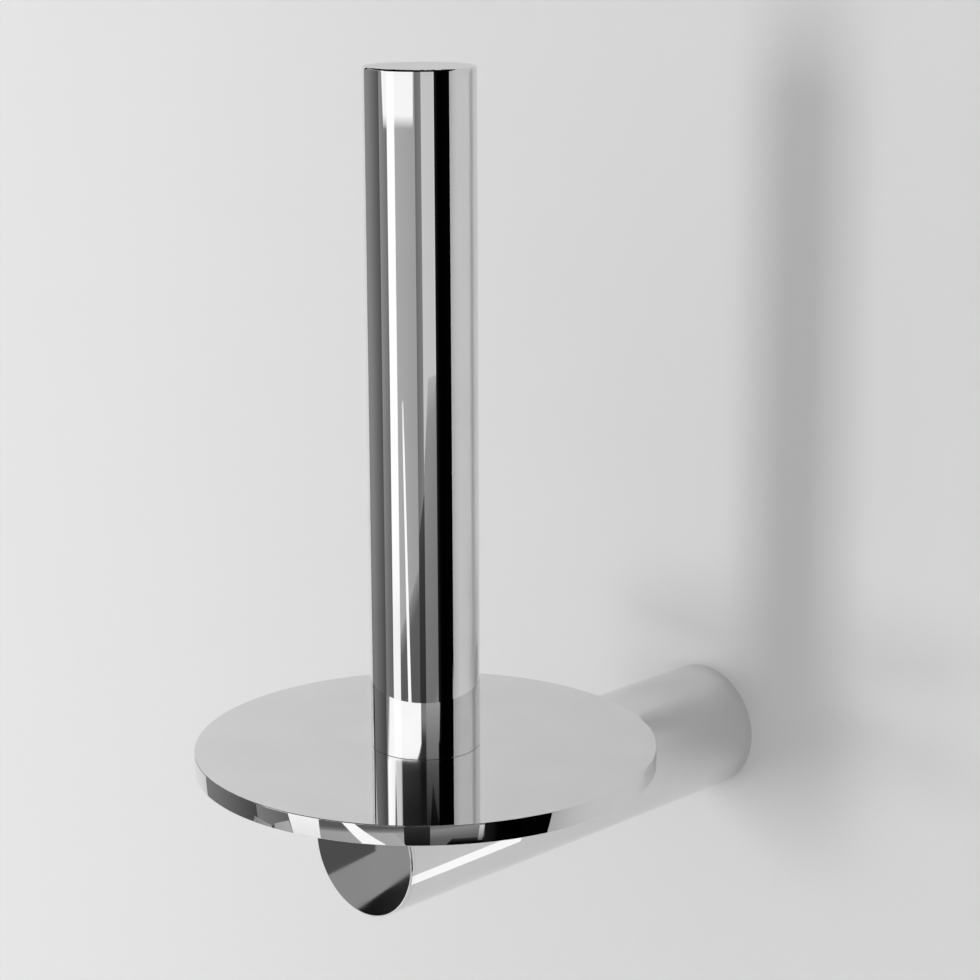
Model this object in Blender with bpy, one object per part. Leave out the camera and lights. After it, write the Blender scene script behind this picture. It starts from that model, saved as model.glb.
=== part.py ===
"""Toilet roll holder for the wall: a round arm carries a flat plate and an upright post for the rolls.

The wall is the plane y = 0 and the room is on its -Y side. The arm's axis is the line x = z = 0,
and the origin is where that axis meets the wall. Every length is in metres.
"""

import math

import bmesh
import bpy

# Arm
arm_diameter = 0.0298
arm_wall = 0.002
arm_overhang = 0.019

# Plate
plate_diameter = 0.100
plate_thickness = 0.0042
plate_edge = 0.0002
post_recess_depth = 0.0003

# Post
post_to_wall = 0.095
post_diameter = 0.0235
post_wall = 0.0015
post_height = 0.145

# Caps at the room end of the arm and the top of the post
cap_flange = 0.001
cap_edge = 0.0004
cap_spigot_wall = 0.0018
arm_cap_spigot = 0.006
post_cap_spigot = 0.008

# Stud, its seat in the arm, and the bush in the post's foot
stud_diameter = 0.008
stud_thread_depth = 0.0007
stud_pitch = 0.00125
stud_in_arm = 0.016
stud_in_post = 0.013
seat_bush_wall = 0.0022
foot_bush_length = 0.018
bush_edge = 0.0005
lock_washer_width = 0.0025
lock_washer_thickness = 0.002
lock_washer_split = 0.001

# Bracket on the wall and the set screw that clamps the arm to it
bracket_length = 0.012
bracket_edge = 0.0008
bracket_rim = 0.0009
groove_depth = 0.002
set_screw_diameter = 0.004
set_screw_thread_depth = 0.0004
set_screw_pitch = 0.0007
set_screw_sink = 0.0002
hex_socket_width = 0.002
hex_socket_depth = 0.0014

# Screws and plugs that hold the bracket to the wall
wall_screw_diameter = 0.004
wall_screw_core = 0.0028
wall_screw_pitch = 0.0018
wall_screw_head = 0.0075
wall_screw_head_rim = 0.0004
wall_screw_point = 0.004
wall_screw_tip = 0.0008
drive_slot_width = 0.0009
drive_slot_length = 0.0042
drive_slot_depth = 0.0018
plug_wall = 0.0009
plug_length = 0.030
plug_set_back = 0.003
plug_neck = 0.006
plug_barb_depth = 0.0004
plug_slit = 0.0008
plug_end = 0.003

# Gaps: between pieces that touch, how far a cut runs past its piece, and how close points are merged
joint_gap = 0.0003
overrun = 0.001
merge_distance = 0.0000005

# Steps round a turned piece, and the points of repeated shapes
wide_steps = 96
round_steps = 72
bush_steps = 36
small_steps = 24
thread_steps = 12
hex_sides = 6
barb_count = 5
thread_lead_turns = 2

# Angles
half_turn = math.pi
quarter_turn = math.pi / 2
smooth_below = math.radians(30)
washer_split_slant = math.radians(20)

# Sizes that follow from the ones above
arm_radius = arm_diameter / 2
arm_bore_radius = arm_radius - arm_wall
arm_projection = post_to_wall + arm_overhang
arm_tube_length = arm_projection - cap_flange - joint_gap
plate_radius = plate_diameter / 2
plate_underside = arm_radius + joint_gap
plate_top = plate_underside + plate_thickness
post_radius = post_diameter / 2
post_bore_radius = post_radius - post_wall
post_recess_radius = post_radius + joint_gap
post_recess_floor = plate_top - post_recess_depth
post_foot = post_recess_floor + joint_gap
post_top = plate_top + post_height
post_tube_top = post_top - cap_flange - joint_gap
stud_radius = stud_diameter / 2
stud_hole_radius = stud_radius + joint_gap
stud_top = post_foot + stud_in_post
stud_length = stud_top - arm_radius + stud_in_arm
seat_bush_radius = stud_hole_radius + seat_bush_wall
foot_bush_radius = post_bore_radius - joint_gap
lock_washer_bore_radius = stud_radius + joint_gap
lock_washer_radius = lock_washer_bore_radius + lock_washer_width
washer_seat_radius = lock_washer_radius + joint_gap
washer_seat_depth = lock_washer_thickness + joint_gap
bracket_radius = arm_bore_radius - joint_gap
bracket_middle = bracket_length / 2
set_screw_radius = set_screw_diameter / 2
set_screw_outer_end = arm_radius - set_screw_sink
set_screw_inner_end = bracket_radius - groove_depth + joint_gap
set_screw_length = set_screw_outer_end - set_screw_inner_end
wall_screw_radius = wall_screw_diameter / 2
wall_screw_head_radius = wall_screw_head / 2
wall_screw_cone = wall_screw_head_radius - wall_screw_radius
wall_screw_offset = bracket_radius - wall_screw_head_radius - joint_gap - bracket_rim
wall_screw_top = bracket_length - joint_gap
wall_screw_thread = plug_length
wall_screw_length = wall_screw_top + plug_set_back + wall_screw_thread
plug_bore_radius = wall_screw_radius + joint_gap
plug_radius = plug_bore_radius + plug_wall


# Building tools

def turned(profile, steps):
    """A closed solid turned about Z from (radius, height) points.

    A profile either starts and ends on the axis or is a closed ring clear of it.
    """
    mesh = bmesh.new()
    points = [mesh.verts.new((radius, 0, height)) for radius, height in profile]
    edges = [mesh.edges.new(pair) for pair in zip(points, points[1:])]
    if profile[0][0] > 0:
        edges.append(mesh.edges.new((points[-1], points[0])))
    bmesh.ops.spin(mesh, geom=points + edges, cent=(0, 0, 0), axis=(0, 0, 1), dvec=(0, 0, 0),
                   angle=2 * half_turn, steps=steps, use_merge=True)
    bmesh.ops.remove_doubles(mesh, verts=mesh.verts, dist=merge_distance)
    bmesh.ops.recalc_face_normals(mesh, faces=mesh.faces)
    return mesh


def rod(radius, low, high, steps):
    """A plain cylinder between two heights on Z."""
    return turned([(0, low), (radius, low), (radius, high), (0, high)], steps)


def threaded(crest, root, pitch, length):
    """A right-hand threaded rod from z = 0 down to z = -length, its two ends cut flat."""
    turns = math.ceil(length / pitch) + thread_lead_turns
    start = -length - pitch
    mesh = bmesh.new()
    profile = [(root, start), (crest, start + pitch / 2), (root, start + pitch)]
    points = [mesh.verts.new((radius, 0, height)) for radius, height in profile]
    edges = [mesh.edges.new(pair) for pair in zip(points, points[1:])]
    bmesh.ops.spin(mesh, geom=points + edges, cent=(0, 0, 0), axis=(0, 0, 1),
                   dvec=(0, 0, pitch / thread_steps), angle=2 * half_turn * turns,
                   steps=thread_steps * turns, use_merge=False)
    bmesh.ops.remove_doubles(mesh, verts=mesh.verts, dist=merge_distance)
    for height, outward in ((0, 1), (-length, -1)):
        geometry = mesh.verts[:] + mesh.edges[:] + mesh.faces[:]
        bmesh.ops.bisect_plane(mesh, geom=geometry, dist=merge_distance, plane_co=(0, 0, height),
                               plane_no=(0, 0, outward), clear_outer=True)
    bmesh.ops.holes_fill(mesh, edges=[edge for edge in mesh.edges if edge.is_boundary], sides=0)
    bmesh.ops.recalc_face_normals(mesh, faces=mesh.faces)
    return mesh


def block(width, depth, height):
    """A box centred on the origin."""
    mesh = bmesh.new()
    bmesh.ops.create_cube(mesh, size=1)
    bmesh.ops.scale(mesh, verts=mesh.verts, vec=(width, depth, height))
    return mesh


def material(name, colour, metallic, roughness):
    """A Principled material with one colour, given as linear red, green and blue."""
    made = bpy.data.materials.new(name)
    made.use_nodes = True
    shader = made.node_tree.nodes["Principled BSDF"]
    shader.inputs["Base Color"].default_value = (*colour, 1)
    shader.inputs["Metallic"].default_value = metallic
    shader.inputs["Roughness"].default_value = roughness
    return made


def placed(name, mesh, parent, location=(0, 0, 0), rotation=(0, 0, 0)):
    """An object made from a bmesh, set under its parent empty."""
    data = bpy.data.meshes.new(name)
    mesh.to_mesh(data)
    mesh.free()
    data.shade_smooth()
    data.set_sharp_from_angle(angle=smooth_below)
    made = bpy.data.objects.new(name, data)
    bpy.context.scene.collection.objects.link(made)
    made.parent = parent
    made.location = location
    made.rotation_euler = rotation
    return made


def piece(name, mesh, finish, parent, location=(0, 0, 0), rotation=(0, 0, 0)):
    """A sub-part of the holder with its own copy of a finish."""
    made = placed(name, mesh, parent, location, rotation)
    made.data.materials.append(material(name, *finish))
    return made


def guide(name, mesh, parent, location=(0, 0, 0), rotation=(0, 0, 0)):
    """A shape that only cuts or joins others, and isn't part of the holder."""
    made = placed(name, mesh, parent, location, rotation)
    made.hide_render = True
    made.display_type = "WIRE"
    return made


def combine(target, tool, operation="DIFFERENCE"):
    """Cut the target with the tool, or join them."""
    modifier = target.modifiers.new(tool.name, "BOOLEAN")
    modifier.operation = operation
    modifier.solver = "EXACT"
    modifier.object = tool


def axis_empty(name, location, rotation=(0, 0, 0)):
    """An empty that carries the pieces on one axis."""
    made = bpy.data.objects.new(name, None)
    bpy.context.scene.collection.objects.link(made)
    made.location = location
    made.rotation_euler = rotation
    return made


# Finishes as linear colour, metallic value and roughness
chrome = ((0.78, 0.78, 0.79), 1.0, 0.04)
raw_brass = ((0.62, 0.42, 0.16), 1.0, 0.32)
zinc_plated_steel = ((0.52, 0.53, 0.55), 1.0, 0.28)
black_steel = ((0.03, 0.03, 0.032), 1.0, 0.4)
grey_nylon = ((0.34, 0.35, 0.36), 0.0, 0.55)


# Arm

def arm_tube(arm_axis, post_axis):
    """Tube from the wall to the end cap, holed on top for the seat bush and below for the set screw."""
    profile = [
        (arm_bore_radius, 0),
        (arm_radius, 0),
        (arm_radius, arm_tube_length),
        (arm_bore_radius, arm_tube_length),
    ]
    tube = piece("arm_tube", turned(profile, round_steps), chrome, arm_axis)
    bush_hole = rod(seat_bush_radius + joint_gap, 0, arm_radius + overrun, bush_steps)
    combine(tube, guide("seat_bush_hole", bush_hole, post_axis))
    screw_hole = rod(set_screw_radius + joint_gap, -arm_radius - overrun, 0, small_steps)
    combine(tube, guide("set_screw_hole", screw_hole, None, (0, -bracket_middle, 0)))


def end_cap(name, parent, face, outer_radius, bore_radius, spigot):
    """Turned cap whose flange covers the tube's end and whose hollow spigot is pressed into the bore."""
    flange_back = face - cap_flange
    spigot_radius = bore_radius - joint_gap
    hollow_radius = spigot_radius - cap_spigot_wall
    spigot_end = flange_back - spigot
    profile = [
        (0, flange_back),
        (hollow_radius, flange_back),
        (hollow_radius, spigot_end),
        (spigot_radius, spigot_end),
        (spigot_radius, flange_back),
        (outer_radius, flange_back),
        (outer_radius, face - cap_edge),
        (outer_radius - cap_edge, face),
        (0, face),
    ]
    piece(name, turned(profile, round_steps), chrome, parent)


def seat_bush(post_axis, arm_axis):
    """Upright bush brazed into the arm. Its flat top carries the plate and its blind hole takes the stud."""
    hole_bottom = arm_radius - stud_in_arm - joint_gap
    profile = [
        (0, -arm_radius),
        (seat_bush_radius, -arm_radius),
        (seat_bush_radius, arm_radius),
        (stud_hole_radius, arm_radius),
        (stud_hole_radius, hole_bottom),
        (0, hole_bottom),
    ]
    bush = piece("seat_bush", turned(profile, bush_steps), raw_brass, post_axis)
    across = arm_diameter + overrun
    saddle = guide("seat_bush_saddle", block(across, across, across), post_axis, (0, 0, -across / 2))
    bore_rod = rod(arm_bore_radius - joint_gap, 0, arm_projection, round_steps)
    combine(saddle, guide("seat_bush_bore", bore_rod, arm_axis))
    combine(bush, saddle)


# Wall fixing

def wall_bracket(arm_axis):
    """Turned stub screwed to the wall inside the arm, with a groove round it for the set screw's point."""
    profile = [
        (0, 0),
        (bracket_radius, 0),
        (bracket_radius, bracket_middle - groove_depth),
        (bracket_radius - groove_depth, bracket_middle),
        (bracket_radius, bracket_middle + groove_depth),
        (bracket_radius, bracket_length - bracket_edge),
        (bracket_radius - bracket_edge, bracket_length),
        (0, bracket_length),
    ]
    bracket = piece("wall_bracket", turned(profile, round_steps), zinc_plated_steel, arm_axis)
    shank_hole = wall_screw_radius + joint_gap
    head_hole = wall_screw_head_radius + joint_gap
    cone_top = wall_screw_top - wall_screw_head_rim
    hole_profile = [
        (0, -overrun),
        (shank_hole, -overrun),
        (shank_hole, cone_top - wall_screw_cone),
        (head_hole, cone_top),
        (head_hole, bracket_length + overrun),
        (0, bracket_length + overrun),
    ]
    for side, offset in (("upper", wall_screw_offset), ("lower", -wall_screw_offset)):
        hole = turned(hole_profile, small_steps)
        combine(bracket, guide(f"wall_screw_hole_{side}", hole, arm_axis, (0, offset, 0)))


def wall_screw(name, arm_axis, offset):
    """Countersunk wood screw: turned head and shank, helical thread drawn in to a point, cross recess."""
    thread_top = wall_screw_thread - wall_screw_length
    shank_end = thread_top - joint_gap
    head_profile = [
        (0, 0),
        (wall_screw_head_radius, 0),
        (wall_screw_head_radius, -wall_screw_head_rim),
        (wall_screw_radius, -wall_screw_head_rim - wall_screw_cone),
        (wall_screw_radius, shank_end),
        (0, shank_end),
    ]
    place = (0, offset, wall_screw_top)
    screw = piece(name, turned(head_profile, small_steps), zinc_plated_steel, arm_axis, place)
    helix = threaded(wall_screw_radius, wall_screw_core / 2, wall_screw_pitch, wall_screw_thread)
    point_start = -wall_screw_thread + wall_screw_point
    for vertex in helix.verts:
        if vertex.co.z < point_start:
            share = (point_start - vertex.co.z) / wall_screw_point
            narrowed = 1 - share * (1 - wall_screw_tip / wall_screw_radius)
            vertex.co.x *= narrowed
            vertex.co.y *= narrowed
    helix_place = (0, offset, wall_screw_top + thread_top)
    combine(screw, guide(f"{name}_thread", helix, arm_axis, helix_place), "UNION")
    for number, angle in enumerate((0, quarter_turn)):
        blade = block(drive_slot_length, drive_slot_width, 2 * drive_slot_depth)
        combine(screw, guide(f"{name}_slot_{number}", blade, arm_axis, place, (0, 0, angle)))


def wall_plug(name, arm_axis, offset):
    """Nylon plug set back behind the stone's face: a plain neck, barbs, and a slit that lets it spread."""
    end = -plug_length
    barb_length = (plug_length - plug_neck) / barb_count
    barb_root = plug_radius - plug_barb_depth
    profile = [(plug_bore_radius, end), (plug_bore_radius, 0), (plug_radius, 0), (plug_radius, -plug_neck)]
    for barb in range(barb_count):
        top = -plug_neck - barb * barb_length
        profile.append((barb_root, top))
        profile.append((plug_radius, top - barb_length))
    profile[-1] = (barb_root, end)
    plug = piece(name, turned(profile, small_steps), grey_nylon, arm_axis, (0, offset, -plug_set_back))
    slit_length = plug_length - plug_neck - plug_end
    slit_middle = -plug_set_back - plug_neck - slit_length / 2
    right_through = 2 * (plug_radius + overrun)
    slit = block(right_through, plug_slit, slit_length)
    combine(plug, guide(f"{name}_slit", slit, arm_axis, (0, offset, slit_middle)))


def arm_set_screw():
    """Cone-point set screw under the arm. Its point sits in the bracket's groove, its socket faces down."""
    root = set_screw_radius - set_screw_thread_depth
    cone_start = set_screw_length - root
    outer_end = (0, -bracket_middle, -set_screw_outer_end)
    thread_top = (0, -bracket_middle, cone_start - set_screw_outer_end)
    helix = threaded(set_screw_radius, root, set_screw_pitch, cone_start)
    screw = piece("arm_set_screw", helix, black_steel, None, thread_top)
    cone_base = cone_start - set_screw_pitch
    cone_profile = [(0, cone_base), (root, cone_base), (root, cone_start), (0, set_screw_length)]
    cone = guide("set_screw_point", turned(cone_profile, thread_steps), None, outer_end)
    combine(screw, cone, "UNION")
    corner_radius = hex_socket_width / 2 / math.cos(half_turn / hex_sides)
    socket = bmesh.new()
    bmesh.ops.create_cone(socket, cap_ends=True, segments=hex_sides, radius1=corner_radius,
                          radius2=corner_radius, depth=2 * hex_socket_depth)
    combine(screw, guide("set_screw_socket", socket, None, outer_end))


# Plate

def roll_plate(post_axis):
    """Round plate with broken edges, a hole for the stud and a shallow recess that centres the post."""
    profile = [
        (stud_hole_radius, plate_underside),
        (plate_radius - plate_edge, plate_underside),
        (plate_radius, plate_underside + plate_edge),
        (plate_radius, plate_top - plate_edge),
        (plate_radius - plate_edge, plate_top),
        (post_recess_radius, plate_top),
        (post_recess_radius, post_recess_floor),
        (stud_hole_radius, post_recess_floor),
    ]
    piece("roll_plate", turned(profile, wide_steps), chrome, post_axis)


# Post

def post_stud(post_axis):
    """Threaded stud that pulls the post down on the plate and the plate down on the arm."""
    root = stud_radius - stud_thread_depth
    helix = threaded(stud_radius, root, stud_pitch, stud_length)
    piece("post_stud", helix, zinc_plated_steel, post_axis, (0, 0, stud_top))


def lock_washer(post_axis):
    """Split spring washer under the foot bush, pressed flat."""
    low = post_foot
    high = low + lock_washer_thickness
    profile = [(lock_washer_bore_radius, low), (lock_washer_radius, low),
               (lock_washer_radius, high), (lock_washer_bore_radius, high)]
    washer = piece("lock_washer", turned(profile, bush_steps), zinc_plated_steel, post_axis)
    cut_length = lock_washer_radius + overrun
    cut = block(cut_length, lock_washer_split, 2 * washer_seat_depth)
    place = (cut_length / 2, 0, low + lock_washer_thickness / 2)
    combine(washer, guide("lock_washer_cut", cut, post_axis, place, (washer_split_slant, 0, 0)))


def post_foot_bush(post_axis):
    """Threaded bush pressed into the post's foot, with a seat below for the lock washer."""
    low = post_foot
    high = low + foot_bush_length
    seat = low + washer_seat_depth
    profile = [
        (washer_seat_radius, low),
        (foot_bush_radius, low),
        (foot_bush_radius, high - bush_edge),
        (foot_bush_radius - bush_edge, high),
        (stud_hole_radius, high),
        (stud_hole_radius, seat),
        (washer_seat_radius, seat),
    ]
    piece("post_foot_bush", turned(profile, bush_steps), raw_brass, post_axis)


def post_tube(post_axis):
    """Tube of the post, from the plate's recess to the top cap."""
    profile = [(post_bore_radius, post_foot), (post_radius, post_foot),
               (post_radius, post_tube_top), (post_bore_radius, post_tube_top)]
    piece("post_tube", turned(profile, round_steps), chrome, post_axis)


def build():
    """Clear the scene and make every piece of the holder."""
    for old in list(bpy.data.objects):
        bpy.data.objects.remove(old)
    arm_axis = axis_empty("arm_axis", (0, 0, 0), (quarter_turn, 0, 0))
    post_axis = axis_empty("post_axis", (0, -post_to_wall, 0))
    wall_bracket(arm_axis)
    for side, offset in (("upper", wall_screw_offset), ("lower", -wall_screw_offset)):
        wall_screw(f"wall_screw_{side}", arm_axis, offset)
        wall_plug(f"wall_plug_{side}", arm_axis, offset)
    arm_tube(arm_axis, post_axis)
    end_cap("arm_end_cap", arm_axis, arm_projection, arm_radius, arm_bore_radius, arm_cap_spigot)
    arm_set_screw()
    seat_bush(post_axis, arm_axis)
    roll_plate(post_axis)
    post_stud(post_axis)
    lock_washer(post_axis)
    post_foot_bush(post_axis)
    post_tube(post_axis)
    end_cap("post_top_cap", post_axis, post_top, post_radius, post_bore_radius, post_cap_spigot)


build()
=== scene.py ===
# %% [markdown]
# # A chrome holder for the spare toilet roll
#
# The real object is a round tube that stands out from the wall, a flat round plate on it, and an upright
# post that the roll drops over. All of it is brass with a mirror-bright chrome plate. A mirror has almost no
# look of its own: it shows the room. So this lesson has two halves. One half turns the pieces with very
# clean surfaces and fine edges, and the other half builds a small studio that is worth reflecting.
#
# The first cell loads the engineering model. Every piece below is measured from it, so nothing is fitted by
# eye.

# %% Load the engineering model
import math

import bmesh
import bpy
from mathutils import Matrix, Vector


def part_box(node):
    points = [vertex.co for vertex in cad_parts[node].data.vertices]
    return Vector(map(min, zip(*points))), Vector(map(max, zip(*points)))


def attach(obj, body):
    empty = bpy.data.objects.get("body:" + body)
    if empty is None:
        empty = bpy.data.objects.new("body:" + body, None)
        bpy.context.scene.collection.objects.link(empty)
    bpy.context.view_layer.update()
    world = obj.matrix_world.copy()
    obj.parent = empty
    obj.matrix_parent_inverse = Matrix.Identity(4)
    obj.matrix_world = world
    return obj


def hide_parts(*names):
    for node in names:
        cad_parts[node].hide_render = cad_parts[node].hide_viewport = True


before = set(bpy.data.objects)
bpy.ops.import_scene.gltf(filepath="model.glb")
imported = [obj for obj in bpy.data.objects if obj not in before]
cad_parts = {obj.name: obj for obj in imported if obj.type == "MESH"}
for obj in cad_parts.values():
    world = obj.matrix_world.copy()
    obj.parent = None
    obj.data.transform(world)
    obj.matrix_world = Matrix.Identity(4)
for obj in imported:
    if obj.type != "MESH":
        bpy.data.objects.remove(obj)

scene = bpy.context.scene
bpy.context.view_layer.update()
print("nodes:", ", ".join(sorted(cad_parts)))

# %% [markdown]
# Sizes are easier to read in millimetres, but Blender works in metres here. One named value turns the one
# into the other, and the sizes that the later cells share are measured from the engineering model.

# %% Shared sizes
MM = 0.001
LOWER, UPPER = 0, 1
plate_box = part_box("roll_plate")
post_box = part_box("post_tube")

ARM_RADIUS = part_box("arm_tube")[UPPER].x
ARM_FRONT = -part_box("arm_end_cap")[LOWER].y
PLATE_RADIUS = plate_box[UPPER].x
PLATE_BOTTOM = plate_box[LOWER].z
PLATE_TOP = plate_box[UPPER].z
POST_RADIUS = post_box[UPPER].x
POST_FOOT = post_box[LOWER].z
POST_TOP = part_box("post_top_cap")[UPPER].z
POST_AXIS = Vector((0, (plate_box[LOWER].y + plate_box[UPPER].y) / 2, 0))
print("arm", ARM_RADIUS, "plate", PLATE_RADIUS, "post", POST_RADIUS, "post axis", tuple(POST_AXIS))

# %% [markdown]
# ## Camera
#
# The place of the camera was found by fitting the two circles of the plate, the sides of the post and the
# outline of the arm to the picture. It stands half a metre away, to the right and a little above, and has a
# long lens, so that the post's sides stay nearly parallel. The order of the turns matters: first the roll
# about the line of sight, then the tilt, then the turn about the upright.

# %% Camera
SENSOR_WIDTH = 36.0
PICTURE_WIDTH = 980
FOCAL_PIXELS = 2498.12
CAMERA_PLACE = Vector((368.76, -453.29, 199.84)) * MM
CAMERA_TURN = math.radians(44.2576)
CAMERA_TILT = math.radians(13.5931)
CAMERA_ROLL = math.radians(0.1847)

camera_data = bpy.data.cameras.new("studio_camera")
camera_data.sensor_width = SENSOR_WIDTH
camera_data.lens = FOCAL_PIXELS * SENSOR_WIDTH / PICTURE_WIDTH
camera_data.clip_start = 0.01
camera = bpy.data.objects.new("studio_camera", camera_data)
scene.collection.objects.link(camera)
turn = Matrix.Rotation(CAMERA_TURN, 4, "Z")
tilt = Matrix.Rotation(math.pi / 2 - CAMERA_TILT, 4, "X")
roll = Matrix.Rotation(-CAMERA_ROLL, 4, "Z")
camera.matrix_world = Matrix.Translation(CAMERA_PLACE) @ turn @ tilt @ roll
scene.camera = camera
scene.view_settings.view_transform = "Standard"
print("lens in mm:", round(camera_data.lens, 2))

# %% [markdown]
# ## Tools for materials
#
# A colour picked on a screen is an sRGB value, but light adds up in linear values. One function turns the
# one into the other. A second small function adds a node, sets it and links it, so that each material below
# reads as a list of steps.

# %% Colour and node helpers
def linear(hex_colour):
    """Linear red, green, blue and alpha of an sRGB hex colour."""
    values = [int(hex_colour[start:start + 2], 16) / 255 for start in (1, 3, 5)]
    turned = [value / 12.92 if value <= 0.04045 else ((value + 0.055) / 1.055) ** 2.4 for value in values]
    return (*turned, 1.0)


def add(tree, kind, settings=None, values=None, links=None):
    """Adds one node, with its settings, the values of its sockets and what feeds them."""
    node = tree.nodes.new(kind)
    for name, value in (settings or {}).items():
        setattr(node, name, value)
    for name, value in (values or {}).items():
        node.inputs[name].default_value = value
    for name, source in (links or {}).items():
        tree.links.new(source, node.inputs[name])
    return node


def new_material(name):
    """An empty node material."""
    made = bpy.data.materials.new(name)
    made.use_nodes = True
    made.node_tree.nodes.clear()
    return made, made.node_tree


def colour_steps(tree, source, steps):
    """A colour ramp from places between 0 and 1 to hex colours."""
    ramp = add(tree, "ShaderNodeValToRGB", links={"Fac": source})
    elements = ramp.color_ramp.elements
    elements[0].position, elements[0].color = steps[0][0], linear(steps[0][1])
    elements[1].position, elements[1].color = steps[-1][0], linear(steps[-1][1])
    for place, hex_colour in steps[1:-1]:
        elements.new(place).color = linear(hex_colour)
    return ramp


# %% [markdown]
# ## The wall and the floor
#
# The holder hangs on a wall, so a plain pale wall is the backdrop, and a plain pale floor lies well below.
# The wall is one sheet. Seen from behind it turns clear, which lets other views show the fixings that sit
# inside the wall. A diffuse shader is enough: it takes the holder's shadow and nothing else. Its paint holds
# painted shade: it is paler on the left and greyer on the right, in place of light that falls mostly from
# one side.

# %% Wall and floor
# Painted shade: the wall's tones fall from left to right in place of light that falls off across it.
WALL_PAINTED_SHADE = [(0, "#E7E7E7"), (0.2, "#E2E2E2"), (0.38, "#DBDBDB"), (0.5, "#D9D9D9"), (0.7, "#D8D8D8"),
               (0.95, "#BFBFBF"), (1, "#BFBFBF")]
FLOOR_SHADES = [(0, "#F2F2F2"), (1, "#EEEEEE")]
SHADED_HALF_WIDTH = 0.35
FLOOR_HEIGHT = -1.6
WALL_HALF_WIDTH = 5.0
WALL_TOP = 4.0
FLOOR_HALF_DEPTH = 10.0


def flat_sheet(name, corners, material):
    """One flat four-sided sheet of the studio."""
    shape = bmesh.new()
    shape.faces.new([shape.verts.new(corner) for corner in corners])
    data = bpy.data.meshes.new(name)
    shape.to_mesh(data)
    shape.free()
    data.materials.append(material)
    made = bpy.data.objects.new(name, data)
    scene.collection.objects.link(made)
    return made


def painted_plaster(name, shades, clear_behind):
    """Matt paint toned from left to right (painted shade on the wall); clear from behind if asked for."""
    made, tree = new_material(name)
    place = add(tree, "ShaderNodeTexCoord")
    split = add(tree, "ShaderNodeSeparateXYZ", links={"Vector": place.outputs["Object"]})
    left_to_right = add(tree, "ShaderNodeMapRange",
                        values={"From Min": -SHADED_HALF_WIDTH, "From Max": SHADED_HALF_WIDTH},
                        links={"Value": split.outputs["X"]})
    shade = colour_steps(tree, left_to_right.outputs[0], shades)
    paint = add(tree, "ShaderNodeBsdfDiffuse", links={"Color": shade.outputs["Color"]})
    out = add(tree, "ShaderNodeOutputMaterial", links={"Surface": paint.outputs[0]})
    if clear_behind:
        side = add(tree, "ShaderNodeNewGeometry")
        clear = add(tree, "ShaderNodeBsdfTransparent")
        both = add(tree, "ShaderNodeMixShader", links={"Fac": side.outputs["Backfacing"]})
        tree.links.new(paint.outputs[0], both.inputs[1])
        tree.links.new(clear.outputs[0], both.inputs[2])
        tree.links.new(both.outputs[0], out.inputs["Surface"])
    return made


# The wall's paint carries painted shade, paler on the left and greyer on the right.
wall = flat_sheet("studio_wall", [
    (-WALL_HALF_WIDTH, 0, FLOOR_HEIGHT),
    (WALL_HALF_WIDTH, 0, FLOOR_HEIGHT),
    (WALL_HALF_WIDTH, 0, WALL_TOP),
    (-WALL_HALF_WIDTH, 0, WALL_TOP),
], painted_plaster("wall_paint_with_painted_shade", WALL_PAINTED_SHADE, True))
floor = flat_sheet("studio_floor", [
    (-WALL_HALF_WIDTH, -FLOOR_HALF_DEPTH, FLOOR_HEIGHT),
    (WALL_HALF_WIDTH, -FLOOR_HALF_DEPTH, FLOOR_HEIGHT),
    (WALL_HALF_WIDTH, FLOOR_HALF_DEPTH, FLOOR_HEIGHT),
    (-WALL_HALF_WIDTH, FLOOR_HALF_DEPTH, FLOOR_HEIGHT),
], painted_plaster("matt_floor_paint", FLOOR_SHADES, False))
print("wall faces", tuple(wall.data.polygons[0].normal), "floor faces", tuple(floor.data.polygons[0].normal))

# %% [markdown]
# ## Light
#
# Two thirds of the light is even and comes from all round: that is the world. The rest comes from one soft
# box, a little left of straight ahead. Its width as the wall sees it, about 10 degrees, sets how soft the
# post's shadow is, and its direction sets how far the shadow falls to the right. The lamp itself is hidden
# from mirrors, because a white card at the same place will be seen in them at a calmer level.

# %% World and soft box
STUDIO_RADIUS = 3.0
KEY_FROM = -20.2
KEY_TO = -10.4
KEY_HEIGHT = 1.06
KEY_WATTS = 32.5
FILL_LEVEL = 0.67
SURROUND_COLOUR = "#D8D8D8"


def around(azimuth, distance=STUDIO_RADIUS):
    """The point at the arm's height in a direction: 0 is straight out from the wall, 90 to the right."""
    angle = math.radians(azimuth)
    return POST_AXIS + distance * Vector((math.sin(angle), -math.cos(angle), 0))


world = bpy.data.worlds.new("studio_world")
scene.world = world
world.use_nodes = True
sky = world.node_tree
sky.nodes.clear()
seen = add(sky, "ShaderNodeBackground", values={"Color": linear(SURROUND_COLOUR), "Strength": 1.0})
fill = add(sky, "ShaderNodeBackground", values={"Color": (1, 1, 1, 1), "Strength": FILL_LEVEL})
rays = add(sky, "ShaderNodeLightPath")
mirror_or_glass = add(sky, "ShaderNodeMath", {"operation": "MAXIMUM"})
sky.links.new(rays.outputs["Is Glossy Ray"], mirror_or_glass.inputs[0])
sky.links.new(rays.outputs["Is Transmission Ray"], mirror_or_glass.inputs[1])
any_seen = add(sky, "ShaderNodeMath", {"operation": "MAXIMUM"})
sky.links.new(rays.outputs["Is Camera Ray"], any_seen.inputs[0])
sky.links.new(mirror_or_glass.outputs[0], any_seen.inputs[1])
either = add(sky, "ShaderNodeMixShader", links={"Fac": any_seen.outputs[0]})
sky.links.new(fill.outputs[0], either.inputs[1])
sky.links.new(seen.outputs[0], either.inputs[2])
add(sky, "ShaderNodeOutputWorld", links={"Surface": either.outputs[0]})

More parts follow.
